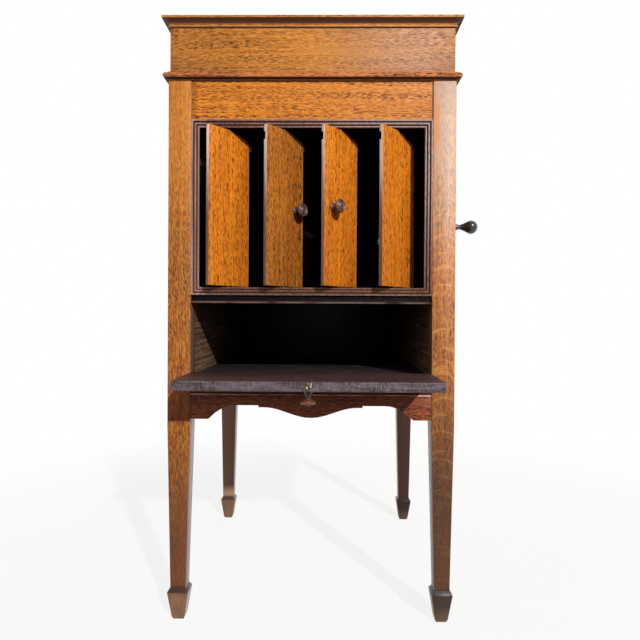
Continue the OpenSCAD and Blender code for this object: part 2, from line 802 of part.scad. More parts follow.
module motor_frame() {
    half = 80;
    front = spindle_y - 50;
    rear = spindle_y + 160;
    in = 10;                              // posts, from the plates' edges
    color(iron) placed() difference() {
        union() {
            block([-half, front, motor_top - 5], [half, rear, motor_top]);
            block([-half, front, motor_top - 66], [half, rear, motor_top - 62]);
            both_sides() for (y = [front + in, rear - in])
                translate([half - in, y, motor_top - 62]) cylinder(h = 57, r = 5, $fn = 32);
            both_sides() block([half - in, governor_y - 5, motor_top - 62],
                               [half - in + 4, governor_y + 6, motor_top - 33]);
        }
        x_pin(-half, half, governor_y, motor_top - 40, 2 + running);
        translate([0, spindle_y, 0]) cylinder(h = lid_top_z, r = 4.5 + running, $fn = 32);
        translate([0, spindle_y + centre_gap, 0]) cylinder(h = lid_top_z, r = 5 + running, $fn = 32);
    }
}

// The arbor's winding wheel, in mesh with the crank shaft's pinion.
module winding_wheel() {
    color(iron) placed() translate([0, spindle_y + centre_gap, 0]) {
        translate([0, 0, motor_top - 66]) cylinder(h = 64, r = 5, $fn = 32);
        translate([0, 0, motor_top - 60]) cylinder(h = 3, r = wheel_r + 5, $fn = 64);
        for (k = [0:wheel_teeth - 1]) rotate([0, 0, 360 * (k + 0.5) / wheel_teeth])
            translate([wheel_r - 5, -0.7, motor_top - 58]) cube([10, 1.4, crank_z - crank_pr - motor_top + 58]);
    }
}

module spring_barrel() {
    color(nickel) placed() translate([0, spindle_y + centre_gap, gear_z - 30]) difference() {
        union() {
            cylinder(h = 30, r = 40, $fn = 72);
            translate([0, 0, 30]) spur(gear_teeth, 4, 0);
        }
        translate([0, 0, -1]) cylinder(h = 40, r = 5 + running, $fn = 32);
    }
}

module turntable_spindle() {
    color(nickel) placed() translate([0, spindle_y, 0]) {
        translate([0, 0, motor_top - 66]) cylinder(h = motor_board_z + 6 - motor_top + 66, r = 4.5, $fn = 32);
        translate([0, 0, motor_board_z + 6]) cylinder(h = 26, r = spindle_r, $fn = 32);
        translate([0, 0, gear_z - 1]) spur(pinion_n, 6, 90);
    }
}

module turntable() {
    z = motor_board_z + 6;
    color(nickel) placed() translate([0, spindle_y, z]) rotate_extrude($fn = 96)
        polygon([[4.6, 0], [14, 0], [14, 6], [platter_r - 10, 8], [platter_r - 6, 2], [platter_r - 1, 1],
                 [platter_r, 3], [platter_r, 10], [platter_r - 2, 12], [4.6, 12]]);
}

module turntable_felt() {
    color(felt) placed() translate([0, spindle_y, motor_board_z + 18]) difference() {
        cylinder(h = 2, r = platter_r - 3, $fn = 96);
        translate([0, 0, -1]) cylinder(h = 4, r = spindle_r + 0.4, $fn = 32);
    }
}

// Governor: a shaft with a friction disc and three weights on leaf springs.
module governor() {
    y = governor_y;
    z = motor_top - 40;
    color(brass) placed() {
        x_pin(-76, 76, y, z, 2);
        x_pin(-50, -46, y, z, 16);
        for (k = [0:2]) translate([0, y, z]) rotate([120 * k, 0, 0])
            translate([-14, -4, 9]) cube([14, 8, 5]);
        x_pin(-30, -26, y, z, 10);
        x_pin(12, 16, y, z, 10);
        for (k = [0:2]) translate([0, y, z]) rotate([120 * k, 0, 0])
            translate([-30, -3, 9]) cube([46, 6, 0.8]);
    }
}

// ---- Tone arm ----

module tone_arm_base() {
    bore = arm_r + running;
    neck = arm_r + pipe_t;
    color(nickel) placed() translate([arm_x, arm_y, motor_board_z]) rotate_extrude($fn = 64)
        polygon([[bore, -pipe_l], [neck, -pipe_l], [neck, 0], [36, 0], [36, 3],
                 [30, 5], [neck + 1, 8], [neck + 1, 22], [bore, 22]]);
}

neck_r = 9;                           // neck of the sound box, on the arm's end

// Tapered tube from the pivot to the sound box, along the arm's own -Y.
module tone_arm() {
    color(nickel) placed() translate([arm_x, arm_y, 0]) rotate([0, 0, arm_park]) {
        translate([0, 0, motor_board_z - 20]) cylinder(h = arm_z - motor_board_z + 20, r = arm_r, $fn = 48);
        translate([0, 0, arm_z]) sphere(r = arm_r, $fn = 48);
        translate([0, 0, arm_z]) rotate([90, 0, 0])
            cylinder(h = arm_l - box_r - 6, r1 = arm_r, r2 = neck_r - 1, $fn = 48);
    }
}

// Disc-shaped reproducer, with its needle pointing down.
module sound_box() {
    z = arm_z - 6;
    color(nickel) placed() translate([arm_x, arm_y, 0]) rotate([0, 0, arm_park])
        translate([0, -arm_l, z]) {
            translate([-9, 0, 0]) rotate([0, 90, 0]) cylinder(h = 18, r = box_r - 5, $fn = 64);
            translate([-6, 0, 0]) rotate([0, 90, 0]) cylinder(h = 12, r = box_r - 1, $fn = 64);
            translate([0, box_r + 6, 6]) rotate([90, 0, 0])
                cylinder(h = box_r + 6, r = neck_r, $fn = 48);
            translate([0, -4, -box_r - 4]) cylinder(h = 10, r = 2.5, $fn = 24);
            translate([0, -4, -box_r - 10]) cylinder(h = 8, r1 = 0.4, r2 = 1, $fn = 24);
        }
}

brake_x = -platter_r;                 // the lever's tip meets the platter's rim
brake_y = 350;

module brake_lever() {
    z = motor_board_z;
    color(nickel) placed() translate([brake_x, brake_y, z]) {
        cylinder(h = 10, r = 5, $fn = 32);
        translate([-4, -44, 4]) cube([8, 44, 3]);
        translate([0, -44, 4]) cylinder(h = 8, r = 5, $fn = 32);
    }
}

cup_x = inner_w - 16;
cup_y = 80;

module needle_cup() {
    color(nickel) placed() translate([cup_x, cup_y, motor_board_z]) rotate_extrude($fn = 48)
        polygon([[0, 0], [20, 0], [22, 10], [25, 11], [25, 13], [20, 13], [17, 3], [0, 3]]);
}

leg_front_left();
leg_front_right();
leg_rear_left();
leg_rear_right();
side_panel_left();
side_panel_right();
back_panel();
top_rail();
louvre_frame();
divider_rail();
bottom_rail();
apron_front();
apron_sides();
shelf_board();
chamber_floor();
chamber_ceiling();
chamber_linings();
tone_chamber();
waist_moulding();
motor_board();
motor_board_cleats();
lid_band();
lid_top();
lid_hinges_fixed();
lid_hinges_moving();
lid_stay();
flap_board();
flap_knob();
flap_catch();
flap_hinges_fixed();
flap_hinges_moving();
louvre_1();
louvre_2();
louvre_3();
louvre_4();
louvre_irons_1();
louvre_irons_2();
louvre_irons_3();
louvre_irons_4();
louvre_knob_left();
louvre_knob_right();
tie_bar();
crank_escutcheon();
crank();
crank_handle();
motor_frame();
winding_wheel();
spring_barrel();
turntable_spindle();
turntable();
turntable_felt();
governor();
tone_arm_base();
tone_arm();
sound_box();
brake_lever();
needle_cup();
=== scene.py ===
"""Floor-standing gramophone cabinet in golden oak: finishes, hardware and studio."""
import math

import bmesh
import bpy
from mathutils import Matrix, Vector


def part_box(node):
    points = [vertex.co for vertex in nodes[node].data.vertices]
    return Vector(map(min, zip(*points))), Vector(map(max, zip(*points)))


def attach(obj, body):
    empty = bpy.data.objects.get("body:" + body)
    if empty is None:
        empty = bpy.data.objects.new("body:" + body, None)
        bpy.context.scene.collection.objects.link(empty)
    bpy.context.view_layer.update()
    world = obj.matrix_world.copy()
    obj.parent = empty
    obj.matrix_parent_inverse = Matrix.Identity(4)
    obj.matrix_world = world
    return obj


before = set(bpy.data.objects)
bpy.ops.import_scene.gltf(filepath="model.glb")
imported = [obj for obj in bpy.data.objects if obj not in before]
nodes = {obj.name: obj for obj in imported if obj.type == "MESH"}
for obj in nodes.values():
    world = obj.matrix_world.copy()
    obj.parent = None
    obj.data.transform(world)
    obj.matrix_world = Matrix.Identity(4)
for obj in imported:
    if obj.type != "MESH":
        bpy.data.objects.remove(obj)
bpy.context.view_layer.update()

MM = 0.001
MID_X, MID_Y = 0.050, 0.2061             # the cabinet's front middle lies this far from the origin
LOUVRE_TURN = math.radians(52)           # how far the louvres stand open at rest
SHELF_Z, SHELF_TOP_Z = 0.386, 0.534      # the record shelf, from floor to ceiling
RIGHT_LEG_X = 219.5                      # mm, the middle of the right front leg
FOOT_Z = 0.052                           # the top of the spade feet
FRONT, BACK, RIGHT, UP, DOWN = (0, -1, 0), (0, 1, 0), (1, 0, 0), (0, 0, 1), (0, 0, -1)


def at(x, y, z):
    """A place given in mm from the cabinet's front middle, in the row frame."""
    return Vector((x * MM - MID_X, y * MM - MID_Y, z * MM))


# ---------------------------------------------------------------- camera

YAW, PITCH, ROLL = math.radians(-0.77), math.radians(0.383), math.radians(0.332)
CAMERA_PLACE = (28.4, -987.0, 512.7)     # mm
LENS, SENSOR = 33.4, 36                  # mm
forward = Vector((math.sin(YAW) * math.cos(PITCH), math.cos(YAW) * math.cos(PITCH), -math.sin(PITCH)))
right = Vector((math.cos(YAW), -math.sin(YAW), 0))
up = right.cross(forward)
cam_x = right * math.cos(ROLL) + up * math.sin(ROLL)
cam_y = up * math.cos(ROLL) - right * math.sin(ROLL)
camera = bpy.data.objects.new("camera", bpy.data.cameras.new("camera"))
camera.data.lens = LENS
camera.data.sensor_width = SENSOR
camera.data.clip_start = 0.05
turn = Matrix((cam_x, cam_y, -forward)).transposed().to_4x4()
camera.matrix_world = Matrix.Translation(at(*CAMERA_PLACE)) @ turn
bpy.context.scene.collection.objects.link(camera)
bpy.context.scene.camera = camera

# ---------------------------------------------------------------- node building


class Net:
    """A material's node tree, with short calls for the nodes used here."""

    def __init__(self, name):
        self.material = bpy.data.materials.new(name)
        self.material.use_nodes = True
        self.tree = self.material.node_tree
        self.tree.nodes.clear()
        self.out = self.tree.nodes.new("ShaderNodeOutputMaterial")
        self.bsdf = self.add("BsdfPrincipled")
        self.tree.links.new(self.bsdf.outputs[0], self.out.inputs[0])

    def put(self, socket, value):
        """Links a socket to the value, or writes the value on it."""
        if isinstance(value, bpy.types.NodeSocket):
            self.tree.links.new(value, socket)
        else:
            socket.default_value = value

    def add(self, kind, inputs=(), **props):
        node = self.tree.nodes.new("ShaderNode" + kind)
        for key, value in props.items():
            setattr(node, key, value)
        for key, value in dict(inputs).items():
            self.put(node.inputs[key], value)
        return node

    def mapped(self, vec, scale=(1, 1, 1), rot=(0, 0, 0), loc=(0, 0, 0)):
        node = self.add("Mapping", {"Vector": vec, "Scale": scale, "Rotation": rot, "Location": loc})
        return node.outputs[0]

    def noise(self, vec, scale, detail=2.0, rough=0.5, distort=0.0):
        ins = {"Vector": self.mapped(vec, scale), "Scale": 1.0, "Detail": detail,
               "Roughness": rough, "Distortion": distort}
        return self.add("TexNoise", ins).outputs[0]

    def band(self, value, low, high):
        """0 below low, 1 above high, smooth between."""
        ins = {"Value": value, "From Min": low, "From Max": high}
        return self.add("MapRange", ins, interpolation_type="SMOOTHSTEP").outputs[0]

    def math(self, op, a, b=0.0, c=0.0):
        node = self.add("Math", operation=op)
        for i, v in enumerate((a, b, c)):
            self.put(node.inputs[i], v)
        return node.outputs[0]

    def mix(self, fac, a, b, kind="MIX"):
        node = self.add("Mix", data_type="RGBA", blend_type=kind)
        for i, v in ((0, fac), (6, a), (7, b)):
            self.put(node.inputs[i], v)
        return node.outputs[2]

    def bump(self, height, strength, distance):
        return self.add("Bump", {"Height": height, "Strength": strength, "Distance": distance}).outputs[0]

    def set(self, **values):
        """Values of the Principled shader's own sockets, with _ for a space in a name."""
        for key, value in values.items():
            self.put(self.bsdf.inputs[key.replace("_", " ")], value)


def rgb(r, g, b):
    """A colour written as 0-255 display values, as the linear value that a node takes."""
    def line(v):
        v /= 255
        return v / 12.92 if v <= 0.04045 else ((v + 0.055) / 1.055) ** 2.4
    return (line(r), line(g), line(b), 1.0)


GRAIN = {"X": (0, math.pi / 2, 0), "Y": (math.pi / 2, 0, 0), "Z": (0, 0, 0)}

# Tones of the wood: early and late growth, the pores, and the ray flecks.
SUNNY = dict(light=rgb(232, 134, 26), dark=rgb(196, 102, 18), pore=rgb(112, 54, 10), ray=rgb(240, 156, 58))
GOLD = dict(light=rgb(214, 126, 30), dark=rgb(172, 92, 20), pore=rgb(96, 50, 14), ray=rgb(232, 156, 66))
AMBER = dict(light=rgb(196, 114, 30), dark=rgb(146, 78, 22), pore=rgb(76, 40, 16), ray=rgb(214, 144, 66))
STRAW = dict(light=rgb(206, 124, 36), dark=rgb(150, 82, 24), pore=rgb(78, 44, 20), ray=rgb(222, 156, 76))
HONEY = dict(light=rgb(210, 126, 34), dark=rgb(142, 78, 22), pore=rgb(80, 44, 20), ray=rgb(222, 162, 88))
BRONZE = dict(light=rgb(222, 130, 66), dark=rgb(152, 80, 42), pore=rgb(40, 20, 12), ray=rgb(224, 150, 90))
RUSSET = dict(light=rgb(142, 80, 52), dark=rgb(92, 46, 32), pore=rgb(34, 16, 12), ray=rgb(164, 104, 74))
UMBER = dict(light=rgb(164, 88, 52), dark=rgb(102, 46, 38), pore=rgb(34, 14, 13), ray=rgb(184, 106, 58))
PLUM = dict(light=rgb(84, 42, 34), dark=rgb(48, 24, 20), pore=rgb(20, 10, 9), ray=rgb(104, 60, 48))
SOOT = dict(light=rgb(44, 40, 38), dark=rgb(22, 20, 22), pore=rgb(8, 7, 9), ray=rgb(70, 66, 60))
LINING = dict(light=rgb(142, 110, 86), dark=rgb(64, 46, 38), pore=rgb(26, 19, 18), ray=rgb(150, 120, 96))
SHADOW = dict(light=rgb(20, 17, 20), dark=rgb(9, 8, 12), pore=rgb(5, 5, 7), ray=rgb(30, 26, 26))


def grain_vector(net, coord, axis, start):
    """The grain's own space: its Z runs along the board, also round the corners of a mitred frame."""
    if axis != "XY":
        return net.mapped(coord.outputs["Object"], rot=GRAIN[axis], loc=start)
    along_x = net.mapped(coord.outputs["Object"], rot=GRAIN["X"], loc=start)
    along_y = net.mapped(coord.outputs["Object"], rot=GRAIN["Y"], loc=start)
    flat = net.add("VectorTransform", {0: net.add("NewGeometry").outputs["True Normal"]},
                   vector_type="NORMAL", convert_from="WORLD", convert_to="OBJECT")
    normal = net.add("SeparateXYZ", {0: flat.outputs[0]}).outputs
    sideways = net.math("SUBTRACT", net.math("ABSOLUTE", normal[0]), net.math("ABSOLUTE", normal[1]))
    node = net.add("Mix", {0: net.band(sideways, 0.05, 0.15), 4: along_x, 5: along_y}, data_type="VECTOR")
    return node.outputs[1]


def wood(name, tone, axis, seed, pores=1.0, rays=0.0, gloss=0.1, haze=0.36, shine=0.12, stripe=0.42,
         inward=0, extra=None):
    """Waxed quarter-sawn oak: broad figure, growth lines, pores, ray flecks, painted shade in corners.

    The noise scales are in waves per metre: across the grain twice, then along it.
    """
    net = Net(name)
    coord = net.add("TexCoord")
    start = (seed * 1.37, seed * 0.71, seed * 0.43)      # each board starts elsewhere in the noise
    vec = grain_vector(net, coord, axis, start)
    wave = net.add("TexNoise", {"Vector": net.mapped(vec, (5, 5, 2.2)), "Scale": 1.0, "Detail": 1.0})
    shift = net.add("VectorMath", {0: wave.outputs["Color"], 1: (0.5, 0.5, 0.5)}, operation="SUBTRACT")
    bend = net.add("VectorMath", {0: shift.outputs[0], 1: (0.012, 0.012, 0)}, operation="MULTIPLY")
    vec = net.add("VectorMath", {0: vec, 1: bend.outputs[0]}, operation="ADD").outputs[0]

    figure = net.band(net.noise(vec, (9, 9, 1.1), 3, 0.55), 0.34, 0.66)
    growth = net.noise(vec, (230, 230, 4.5), 3, 0.6)
    fibre = net.noise(vec, (620, 620, 60), 2, 0.6)
    dots = net.noise(vec, (680, 680, 120), 3, 0.55)
    zone = net.band(growth, 0.40, 0.60)
    pore = net.math("MULTIPLY", net.band(dots, 0.45, 0.60), net.math("MULTIPLY_ADD", zone, 0.5, 0.5))

    colour = net.mix(figure, tone["dark"], tone["light"])
    lines = net.math("MULTIPLY", net.band(growth, 0.42, 0.64), stripe)
    colour = net.mix(lines, colour, tone["dark"])
    silk = net.math("MULTIPLY", net.band(fibre, 0.42, 0.62), 0.4)
    colour = net.mix(silk, colour, tone["ray"])
    if rays:
        tilted = net.mapped(vec, rot=(math.radians(16), math.radians(34), 0))
        fleck = net.band(net.noise(tilted, (50, 50, 430), 2, 0.55, 0.5), 0.54, 0.64)
        patch = net.band(net.noise(vec, (24, 24, 9), 2), 0.34, 0.6)
        fleck = net.math("MULTIPLY", net.math("MULTIPLY", fleck, patch), rays)
        colour = net.mix(fleck, colour, tone["ray"])
        pore = net.math("MULTIPLY", pore, net.math("SUBTRACT", 1.0, fleck))
    colour = net.mix(net.math("MULTIPLY", pore, pores), colour, tone["pore"])
    # Painted shade: the pore colour is mixed in where ambient occlusion finds near surfaces, in corners
    # and recesses.
    corner = net.add("AmbientOcclusion", {"Distance": 0.012}, samples=6).outputs["AO"]
    corner_shade = net.math("MULTIPLY", net.band(corner, 0.75, 0.2), 0.55)
    colour = net.mix(corner_shade, colour, tone["pore"])
    if extra:
        colour = extra(net, coord, colour)
    smear = net.noise(vec, (11, 11, 6), 3)
    waxed = net.math("MULTIPLY_ADD", smear, 0.26, 0.30)
    height = net.math("SUBTRACT", net.math("MULTIPLY", fibre, 0.35), pore)
    net.set(Base_Color=colour,
            Roughness=net.math("ADD", waxed, net.math("MULTIPLY", pore, 0.2)),
            Specular_IOR_Level=shine,
            Coat_Weight=gloss,
            Coat_Roughness=haze,
            Coat_IOR=1.45,
            Normal=net.bump(height, 0.35, 0.00025))
    if inward:
        # A leg's inner face below the shelf has kept its full gloss.
        below = net.band(place_of(net, coord)[2], SHELF_Z - 0.004, SHELF_Z - 0.010)
        side = net.math("MULTIPLY", facing(net, coord, (inward, 0, 0)), below)
        net.set(Coat_Weight=net.math("MULTIPLY_ADD", side, 1 - gloss, gloss))
    return net.material


def place_of(net, coord):
    """The surface point's x, y and z."""
    return net.add("SeparateXYZ", {0: coord.outputs["Object"]}).outputs


def facing(net, coord, direction, low=0.6, high=0.9):
    """1 where the surface faces a direction of the object's own frame."""
    dot = net.add("VectorMath", {0: coord.outputs["Normal"], 1: direction}, operation="DOT_PRODUCT")
    return net.band(dot.outputs["Value"], low, high)


def rubbed_edge_and_highlight(net, colour, tint, amount, radius=0.0016):
    """Lighter along the edges: rubbed, and on the mouldings and the louvre frame also a painted highlight.
    """
    round_n = net.add("Bevel", {"Radius": radius}, samples=6).outputs[0]
    flat_n = net.add("NewGeometry").outputs["Normal"]
    dot = net.add("VectorMath", {0: round_n, 1: flat_n}, operation="DOT_PRODUCT").outputs["Value"]
    mask = net.band(dot, 0.995, 0.86)
    return net.mix(net.math("MULTIPLY", mask, amount), colour, tint)


def strip_of(net, value, start, full, full_end, end):
    """1 between two values, fading to 0 outside them."""
    return net.math("MULTIPLY", net.band(value, start, full), net.band(value, end, full_end))


def leg_rays(net, coord, colour):
    """Arched pale rays across the right front leg."""
    bow, across, along = 22.0, 24.0, 150.0
    x, _, z = place_of(net, coord)
    off = net.math("SUBTRACT", x, at(RIGHT_LEG_X, 0, 0)[0])
    curved = net.math("MULTIPLY_ADD", net.math("MULTIPLY", off, off), bow, z)
    drawn = net.add("CombineXYZ", {0: net.math("MULTIPLY", off, across), 1: 3.7,
                                   2: net.math("MULTIPLY", curved, along)}).outputs[0]
    ray = net.band(net.noise(drawn, (1, 1, 1), 3, 0.5, 0.4), 0.56, 0.66)
    return net.mix(net.math("MULTIPLY", ray, 0.42), colour, rgb(214, 146, 70))


def leg_inside(net, coord, colour, inward):
    """Grey where the leg is the record shelf's wall."""
    z = place_of(net, coord)[2]
    wall = net.math("MULTIPLY", facing(net, coord, (inward, 0, 0)), net.band(z, SHELF_Z - 0.002, SHELF_Z))
    wall = net.math("MULTIPLY", wall, net.band(z, SHELF_TOP_Z + 0.002, SHELF_TOP_Z))
    return net.mix(wall, colour, net.mix(0.5, LINING["light"], LINING["dark"]))


def leg_foot(net, coord, colour, foot_tint):
    """A dry, scuffed spade foot with dirt under its collar."""
    z = place_of(net, coord)[2]
    foot = net.band(z, FOOT_Z, FOOT_Z - 0.006)
    rub = net.band(net.noise(coord.outputs["Object"], (70, 70, 40), 4, 0.65), 0.3, 0.7)
    bare = net.mix(rub, net.mix(0.45, foot_tint, rgb(30, 22, 20)), foot_tint)
    toe = net.math("MULTIPLY", net.band(z, 0.034, 0.0), 0.35)
    bare = net.mix(toe, bare, rgb(150, 118, 90))
    colour = net.mix(net.math("MULTIPLY", foot, 0.8), colour, bare)
    collar = strip_of(net, z, 0.0465, 0.048, 0.054, 0.06)
    return net.mix(net.math("MULTIPLY", collar, 0.8), colour, rgb(22, 18, 19))


def leg_chafe(net, coord, colour):
    """A ragged golden strip along the right leg's inner edge, widest beside the top rail."""
    x, _, z = place_of(net, coord)
    gap = net.math("SUBTRACT", x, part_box("leg_front_right")[0][0])
    ragged = net.noise(coord.outputs["Object"], (130, 130, 55), 4, 0.65)
    ragged = net.math("MULTIPLY_ADD", ragged, 0.024, gap)
    wide = strip_of(net, z, 0.775, 0.81, 0.855, 0.885)
    reach = net.math("MULTIPLY_ADD", wide, -0.0065, ragged)
    strip = net.math("MULTIPLY", net.band(reach, 0.0155, 0.0140), net.band(z, 0.60, 0.66))
    strip = net.math("MULTIPLY", strip, facing(net, coord, FRONT))
    return net.mix(net.math("MULTIPLY", strip, 0.6), colour, rgb(206, 124, 46))


def leg_extra(low_tint_and_painted_light, foot_tint, top_tint_and_sheen=None, top_share=0.5, inward=0, fade=(0.43, 0.16), share=0.84,
              arcs=False, painted_flap_shade=False, outer_tint=None, chafed=False):
    """Rubbed edges, and a duller, greyer finish towards the foot; the rear legs' front faces get painted
    light, lighter on the left leg and darker on the right.
    """
    def paint(net, coord, colour):
        z = place_of(net, coord)[2]
        if arcs:
            colour = leg_rays(net, coord, colour)
        if inward:
            colour = leg_inside(net, coord, colour, inward)
        uneven = net.math("MULTIPLY_ADD", net.noise(coord.outputs["Object"], (22, 22, 5), 3), 0.1, z)
        low = net.math("MULTIPLY", net.band(uneven, *fade), share)
        # On the rear legs the faces turned to the front get painted light: lighter on the left leg,
        # painted shade on the right leg.
        dull = net.mix(facing(net, coord, FRONT), outer_tint, low_tint_and_painted_light) if outer_tint else low_tint_and_painted_light
        colour = net.mix(low, colour, dull)
        if painted_flap_shade:
            # Painted shade: a purplish-red tint on the left leg where the flap's shadow falls.
            flap_shade_mask = strip_of(net, z, 0.315, 0.355, 0.40, 0.44)
            colour = net.mix(net.math("MULTIPLY", flap_shade_mask, 0.32), colour, rgb(124, 52, 46))
        colour = leg_foot(net, coord, colour, foot_tint)
        if top_tint_and_sheen:
            # A lighter top: on the right leg a pale pinkish painted sheen, on the left leg a golden tint.
            top = net.math("MULTIPLY", net.band(z, 0.55, 0.86), top_share)
            colour = net.mix(top, colour, top_tint_and_sheen)
        if chafed:
            colour = leg_chafe(net, coord, colour)
        return rubbed_edge_and_highlight(net, colour, rgb(190, 140, 96), 0.5)
    return paint


def rubbed(tint, amount):
    """Wood with nothing special but its rubbed edges."""
    def paint(net, coord, colour):
        return rubbed_edge_and_highlight(net, colour, tint, amount)
    return paint


def underside_shade_extra(tint, rub_and_highlight):
    """Painted shade on the faces that turn down; pale edges, partly rubbed and partly a painted highlight.
    """
    def paint(net, coord, colour):
        # Faces turned down take the darker tint: painted shade under the mouldings.
        under = net.math("MULTIPLY", facing(net, coord, DOWN, 0.25, 0.6), 0.9)
        return rubbed_edge_and_highlight(net, net.mix(under, colour, tint), rub_and_highlight, 1.0)
    return paint


def louvre_extra(net, coord, colour):
    """The pale front edge of a louvre: rubbed, and a painted reflection of the sky, brighter towards the
    top.
    """
    edge = (-math.cos(LOUVRE_TURN), -math.sin(LOUVRE_TURN), 0)
    streak = net.band(net.noise(coord.outputs["Object"], (300, 300, 9), 2), 0.35, 0.65)
    # Painted reflection: the front edge is made pale, paler towards the top.
    top = net.band(place_of(net, coord)[2], 0.66, 0.84)
    bright = net.mix(top, rgb(128, 98, 88), rgb(244, 228, 222))
    brown = net.mix(top, rgb(92, 66, 58), rgb(190, 160, 148))
    pale = net.mix(streak, bright, brown)
    colour = net.mix(net.math("MULTIPLY", facing(net, coord, edge), 0.85), colour, pale)
    return rubbed_edge_and_highlight(net, colour, rgb(224, 168, 108), 0.5, 0.0012)


def frame_extra(net, coord, colour):
    """Painted shade in the grooves between the reeds and on the inner reed; a painted pinkish-grey sheen
    on the left stile.
    """
    axes = place_of(net, coord)
    # Painted sheen: the left stile, which faces the light, is mixed towards pinkish grey.
    left = net.math("MULTIPLY", net.band(axes[0], -0.222, -0.232), 0.6)
    streak = net.band(net.noise(coord.outputs["Object"], (260, 260, 7), 3), 0.3, 0.7)
    colour = net.mix(left, colour, net.mix(streak, rgb(206, 158, 148), rgb(138, 92, 84)))
    low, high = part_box("louvre_frame")
    gaps = [net.math("SUBTRACT", axes[0], low[0]), net.math("SUBTRACT", high[0], axes[0]),
            net.math("SUBTRACT", axes[2], low[2]), net.math("SUBTRACT", high[2], axes[2])]
    inset = gaps[0]                      # how far a point lies from the frame's outer edge
    for gap in gaps[1:]:
        inset = net.math("MINIMUM", inset, gap)
    # The reeds' edges are lightened: painted highlight, with rubbing.
    colour = rubbed_edge_and_highlight(net, colour, rgb(222, 168, 142), 0.9)
    # Painted shade: dark lines in the grooves between the reeds.
    for start, end in ((0.0030, 0.0056), (0.0082, 0.0102)):
        groove_shade = strip_of(net, inset, start - 0.0005, start, end, end + 0.0005)
        colour = net.mix(net.math("MULTIPLY", groove_shade, 0.88), colour, rgb(30, 15, 10))
    # Painted shade: the inner reed darkens towards the opening.
    inner = net.math("MULTIPLY", net.band(inset, 0.0108, 0.013), 0.6)
    return net.mix(inner, colour, rgb(46, 24, 18))


def rail_extra(net, coord, colour):
    """Dirt in the joint with the right leg, a dark line; painted shade at the left end, beside the left
    leg.
    """
    low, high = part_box("top_rail")
    x = place_of(net, coord)[0]
    joint = net.math("MULTIPLY", net.band(x, high[0] - 0.0026, high[0] - 0.0014), 0.92)
    # Painted shade at the rail's left end, beside the leg.
    left_end_shade = net.math("MULTIPLY", net.band(x, low[0] + 0.012, low[0] + 0.003), 0.42)
    colour = net.mix(net.math("MAXIMUM", joint, left_end_shade), colour, rgb(40, 20, 14))
    return rubbed_edge_and_highlight(net, colour, rgb(214, 160, 100), 0.4)


def band_extra(net, coord, colour):
    """A painted sheen on the lid's front: golden across the middle, paler grey-brown towards the right."""
    x = place_of(net, coord)[0]
    ahead = facing(net, coord, FRONT, 0.3, 0.7)
    patch = net.math("MULTIPLY_ADD", net.noise(coord.outputs["Object"], (7, 7, 18), 2), 0.12, x)
    # Painted sheen: golden in the middle of the front face.
    gold = net.math("MULTIPLY", strip_of(net, patch, -0.16, 0.02, 0.02, 0.16), ahead)
    colour = net.mix(net.math("MULTIPLY", gold, 0.22), colour, rgb(236, 156, 60))
    # Painted sheen: paler and greyer towards the right of the front face.
    grey = net.math("MULTIPLY", net.band(patch, -0.02, 0.14), ahead)
    colour = net.mix(net.math("MULTIPLY", grey, 0.4), colour, rgb(150, 104, 74))
    return rubbed_edge_and_highlight(net, colour, rgb(200, 150, 100), 0.5)


def shelf_extra(net, coord, colour):
    """Dusty slate-coloured streaks where records have slid."""
    streak = net.band(net.noise(coord.outputs["Object"], (14, 190, 60), 5, 0.7), 0.46, 0.7)
    colour = net.mix(net.math("MULTIPLY", streak, 0.5), colour, rgb(104, 104, 100))
    return rubbed_edge_and_highlight(net, colour, rgb(110, 92, 80), 0.6)


def flap_extra(net, coord, colour):
    """Golden outer face, dark stained inner face, slate-grey scuffed front edge."""
    outer = facing(net, coord, DOWN, 0.5, 0.8)
    stained = net.mix(1.0, colour, (0.17, 0.29, 2.0, 1.0), "MULTIPLY")
    colour = net.mix(outer, stained, colour)
    edge = facing(net, coord, FRONT, 0.5, 0.8)
    smear = net.band(net.noise(coord.outputs["Object"], (34, 60, 190), 5, 0.72), 0.36, 0.66)
    slate = net.mix(smear, rgb(42, 34, 40), rgb(98, 88, 94))
    brush = net.band(net.noise(coord.outputs["Object"], (520, 60, 130), 3, 0.7), 0.42, 0.68)
    slate = net.mix(net.math("MULTIPLY", brush, 0.45), slate, rgb(134, 116, 120))
    scuff = net.band(net.noise(coord.outputs["Object"], (85, 85, 190), 4, 0.75), 0.62, 0.70)
    slate = net.mix(net.math("MULTIPLY", scuff, 0.7), slate, rgb(176, 160, 158))
    colour = net.mix(edge, colour, slate)
    return rubbed_edge_and_highlight(net, colour, rgb(136, 112, 98), 0.75, 0.0018)


def back_extra(net, coord, colour):
    """Nearly black on the inner face: painted shade inside the cabinet."""
    return net.mix(facing(net, coord, FRONT), colour, rgb(13, 11, 15))


def knob_extra(net, coord, colour):
    """The flap knob's stem is painted near black, for the shade under the flap; its head is rubbed red."""
    low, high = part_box("flap_knob")
    z = place_of(net, coord)[2]
    tall = high[2] - low[2]
    stem = net.band(z, low[2] + 0.35 * tall, low[2] + 0.55 * tall)
    return net.mix(stem, colour, rgb(30, 22, 22))


def bead_extra(low, high, tint):
    """A pale line between two heights, with rubbed edges; on the divider rail the line is painted light on
    its sunlit bead.
    """
    def paint(net, coord, colour):
        z = place_of(net, coord)[2]
        line = strip_of(net, z, low - 0.0006, low, high, high + 0.0006)
        face = facing(net, coord, FRONT, 0.3, 0.7)
        rub = net.band(net.noise(coord.outputs["Object"], (30, 60, 200), 3), 0.25, 0.6)
        colour = net.mix(net.math("MULTIPLY", net.math("MULTIPLY", line, face), rub), colour, tint)
        return rubbed_edge_and_highlight(net, colour, tint, 0.6)
    return paint


